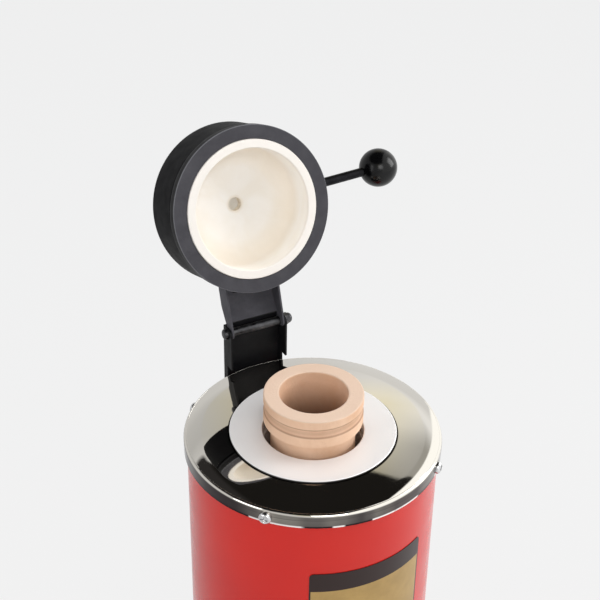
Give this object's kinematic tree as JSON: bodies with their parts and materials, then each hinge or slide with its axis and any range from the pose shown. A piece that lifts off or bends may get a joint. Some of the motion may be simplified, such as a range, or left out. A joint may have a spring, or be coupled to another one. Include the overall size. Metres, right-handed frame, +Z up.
{
  "type": "electric gold melting furnace",
  "caption": "Small electric melting furnace with a red round body, mirror cover, clay crucible and a hinged ceramic-lined lid.",
  "frame": {"origin": "on the axis of the round furnace body and crucible, in the plane that the rubber feet stand on", "axes": "+Z up along the crucible's axis; -Y is the front with the sloping control panel; +X is the side of the lid's handle"},
  "size_m": [0.2312, 0.2741, 0.4741],
  "materials": {
    "red_paint": "satin red paint",
    "black_paint": "satin black paint",
    "mirror_steel": "polished stainless steel",
    "satin_steel": "satin stainless steel",
    "zinc_steel": "zinc-plated steel",
    "rod_steel": "plated steel rod",
    "white_ceramic": "cream fired ceramic",
    "clay": "pinkish fired clay",
    "refractory": "fired refractory",
    "ceramic_fibre": "ceramic fibre board",
    "heater_alloy": "oxidised resistance alloy",
    "foil": "plain gold-coloured foil",
    "knob_phenolic": "glossy black phenolic",
    "foot_rubber": "black rubber",
    "black_plastic": "black moulded plastic",
    "rocker_plastic": "glossy red plastic",
    "button_plastic": "grey plastic",
    "window_plastic": "smoked plastic",
    "terminal_plastic": "cream moulded plastic",
    "blade_brass": "brass",
    "wire_jacket": "glass-fibre wire jacket"
  },
  "bodies": {
    "furnace": {"base_housing": "red_paint", "base_tray": "zinc_steel", "body_floor": "zinc_steel", "body_shell": "red_paint", "bottom_insulation": "ceramic_fibre", "bracket_screws": "zinc_steel", "bracket_spacers": "zinc_steel", "controller_bezel": "black_plastic", "controller_body": "black_plastic", "controller_clamp": "black_plastic", "controller_window": "window_plastic", "cover_screws": "zinc_steel", "element_posts": "heater_alloy", "floor_screws": "zinc_steel", "foil_plate": "foil", "foot_screws": "zinc_steel", "hearth_floor": "refractory", "heater_wires": "wire_jacket", "heating_coil": "heater_alloy", "hinge_bracket": "black_paint", "hinge_nut": "zinc_steel", "hinge_pin": "zinc_steel", "hinge_sleeve": "zinc_steel", "housing_screws": "zinc_steel", "inlet_blades": "blade_brass", "inlet_screws": "zinc_steel", "inlet_socket": "black_plastic", "mains_wires": "wire_jacket", "mouth_ring": "satin_steel", "muffle_tube": "refractory", "rubber_feet": "foot_rubber", "shell_screws": "zinc_steel", "side_insulation": "ceramic_fibre", "signal_wires": "wire_jacket", "solid_state_relay": "black_plastic", "switch_body": "black_plastic", "terminal_block": "terminal_plastic", "thermocouple": "heater_alloy", "top_board": "ceramic_fibre", "top_cover": "mirror_steel"},
    "lid": {"lid_shell": "black_paint", "lid_face_ring": "black_paint", "lid_bowl": "white_ceramic", "lid_insulation": "ceramic_fibre", "hinge_arm": "black_paint", "arm_screws": "zinc_steel", "handle_rod": "rod_steel", "handle_nut": "zinc_steel", "ball_knob": "knob_phenolic"},
    "crucible": {"crucible": "clay"},
    "rocker": {"power_rocker": "rocker_plastic"},
    "button_1": {"controller_button_1": "button_plastic"},
    "button_2": {"controller_button_2": "button_plastic"},
    "button_3": {"controller_button_3": "button_plastic"},
    "button_4": {"controller_button_4": "button_plastic"}
  },
  "joints": [
    {"name": "lid_hinge", "type": "hinge", "parent": "furnace", "child": "lid", "pos_m": [0, 0.082, 0.3382], "axis": [-1, 0, 0], "range_deg": [-108.4, 0]},
    {"name": "crucible_lift", "type": "slide", "parent": "furnace", "child": "crucible", "axis": [0, 0, 1], "range_m": [0, 0.13]},
    {"name": "power_rocker_tilt", "type": "hinge", "parent": "furnace", "child": "rocker", "pos_m": [0.054, -0.11107, 0.0656], "axis": [-1, 0, 0], "range_deg": [0, 18]},
    {"name": "button_1_press", "type": "slide", "parent": "furnace", "child": "button_1", "axis": [0, -0.7142, 0.6999], "range_m": [-0.0008, 0], "stiffness_N_per_m": 300, "springref_m": 0.001},
    {"name": "button_2_press", "type": "slide", "parent": "furnace", "child": "button_2", "axis": [0, -0.7142, 0.6999], "range_m": [-0.0008, 0], "stiffness_N_per_m": 300, "springref_m": 0.001},
    {"name": "button_3_press", "type": "slide", "parent": "furnace", "child": "button_3", "axis": [0, -0.7142, 0.6999], "range_m": [-0.0008, 0], "stiffness_N_per_m": 300, "springref_m": 0.001},
    {"name": "button_4_press", "type": "slide", "parent": "furnace", "child": "button_4", "axis": [0, -0.7142, 0.6999], "range_m": [-0.0008, 0], "stiffness_N_per_m": 300, "springref_m": 0.001}
  ]
}
